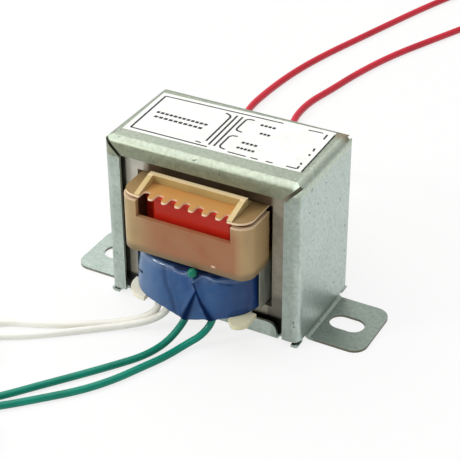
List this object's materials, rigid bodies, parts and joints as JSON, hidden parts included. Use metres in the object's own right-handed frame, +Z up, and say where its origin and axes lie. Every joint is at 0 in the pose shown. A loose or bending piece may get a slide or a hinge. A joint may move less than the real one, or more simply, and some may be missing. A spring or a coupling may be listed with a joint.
{
  "type": "electrical transformer",
  "caption": "Small frame-mounted mains transformer: laminated core and two-section bobbin in a folded steel channel with slotted feet, a lead tray and flying leads",
  "frame": {"origin": "Midway between the two foot slots, on the plane that the feet rest on", "axes": "+X along the feet, +Y to the side where the primary leads come out, +Z up"},
  "size_m": [0.0697, 0.2134, 0.0312],
  "materials": {
    "zinc_plated_steel": "zinc-plated sheet steel, dull",
    "core_steel": "varnished silicon-steel laminations",
    "bobbin_nylon": "natural moulded nylon",
    "enamelled_copper": "enamelled copper wire",
    "red_tape": "polyester winding tape",
    "clear_tape": "polyester winding tape",
    "blue_tape": "crinkled polyester winding tape",
    "liner_film": "grey insulating film",
    "paper": "matt paper",
    "red_pvc": "PVC wire insulation",
    "green_pvc": "PVC wire insulation",
    "white_pvc": "PVC wire insulation",
    "tinned_copper": "tinned strands",
    "tie_plastic": "moulded nylon"
  },
  "bodies": {
    "root": {"frame": "zinc_plated_steel", "base_plate": "zinc_plated_steel", "e_laminations": "core_steel", "i_laminations": "core_steel", "bobbin": "bobbin_nylon", "front_shroud": "bobbin_nylon", "rear_shroud": "bobbin_nylon", "primary_winding": "enamelled_copper", "inner_secondary": "enamelled_copper", "outer_secondary": "enamelled_copper", "primary_tape": "red_tape", "interlayer_tape": "clear_tape", "secondary_tape": "blue_tape", "left_liner": "liner_film", "right_liner": "liner_film", "label": "paper", "red_lead_a": "red_pvc", "red_lead_b": "red_pvc", "green_lead_a": "green_pvc", "green_lead_b": "green_pvc", "green_coil": "green_pvc", "green_sleeve_end": "green_pvc", "white_lead_a": "white_pvc", "white_lead_b": "white_pvc", "white_coil": "white_pvc", "red_wire_ends": "tinned_copper", "green_wire_ends": "tinned_copper", "white_wire_ends": "tinned_copper", "green_tie": "tie_plastic", "white_tie": "tie_plastic"}
  },
  "joints": []
}
